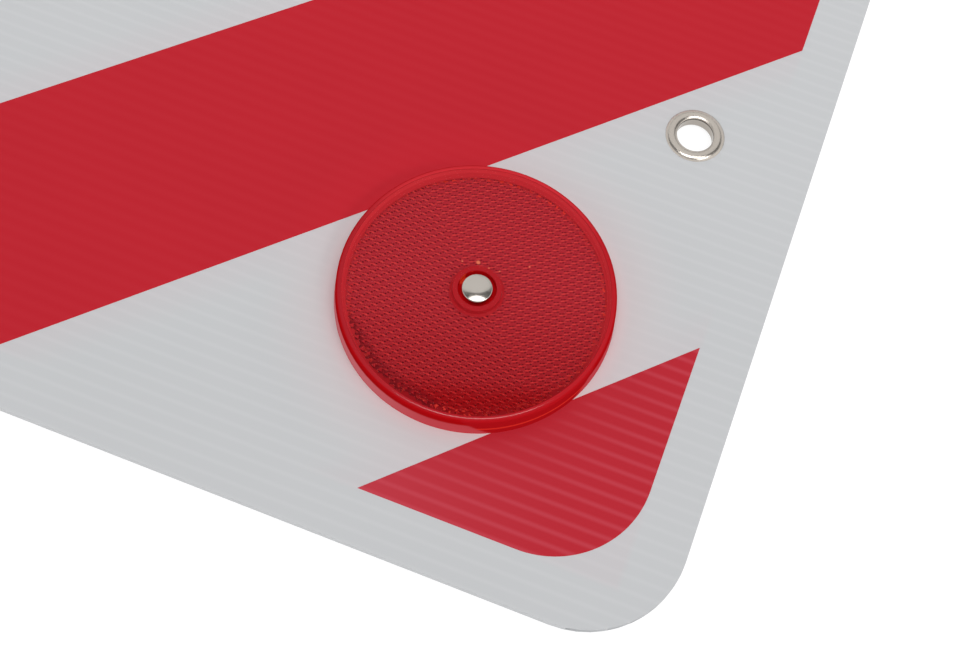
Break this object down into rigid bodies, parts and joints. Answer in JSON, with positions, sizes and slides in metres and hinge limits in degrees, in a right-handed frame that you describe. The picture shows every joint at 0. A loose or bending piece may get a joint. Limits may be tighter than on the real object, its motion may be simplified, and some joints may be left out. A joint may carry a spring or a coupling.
{
  "type": "overhanging load sign",
  "caption": "Square fluted plastic warning board with red diagonal stripes, round red corner reflectors and metal eyelets for tying it to an overhanging load.",
  "frame": {"origin": "under the centre of the sign, on the surface that its rear rivet heads rest on", "axes": "+Z out of the printed face, +X to the right along the flutes, +Y up the face"},
  "size_m": [0.5, 0.5, 0.0144],
  "materials": {
    "panel_white": "satin translucent white",
    "print_red": "satin red ink",
    "reflector_red": "clear red, gloss",
    "reflector_back": "plain red moulding",
    "nickel_plate": "bright nickel plate",
    "polished_nickel": "polished nickel plate"
  },
  "bodies": {
    "root": {"panel": "panel_white", "stripe_lower_right_corner": "print_red", "stripe_lower_right": "print_red", "stripe_centre": "print_red", "stripe_upper_left": "print_red", "stripe_upper_left_corner": "print_red", "reflector_lens_lower_right": "reflector_red", "reflector_back_lower_right": "reflector_back", "eyelet_lower_right": "nickel_plate", "eyelet_washer_lower_right": "nickel_plate", "reflector_lens_upper_right": "reflector_red", "reflector_back_upper_right": "reflector_back", "eyelet_upper_right": "nickel_plate", "eyelet_washer_upper_right": "nickel_plate", "reflector_lens_upper_left": "reflector_red", "reflector_back_upper_left": "reflector_back", "eyelet_upper_left": "nickel_plate", "eyelet_washer_upper_left": "nickel_plate", "reflector_lens_lower_left": "reflector_red", "reflector_back_lower_left": "reflector_back", "eyelet_lower_left": "nickel_plate", "eyelet_washer_lower_left": "nickel_plate", "rivet_caps": "polished_nickel", "rivet_posts": "polished_nickel"}
  },
  "joints": []
}
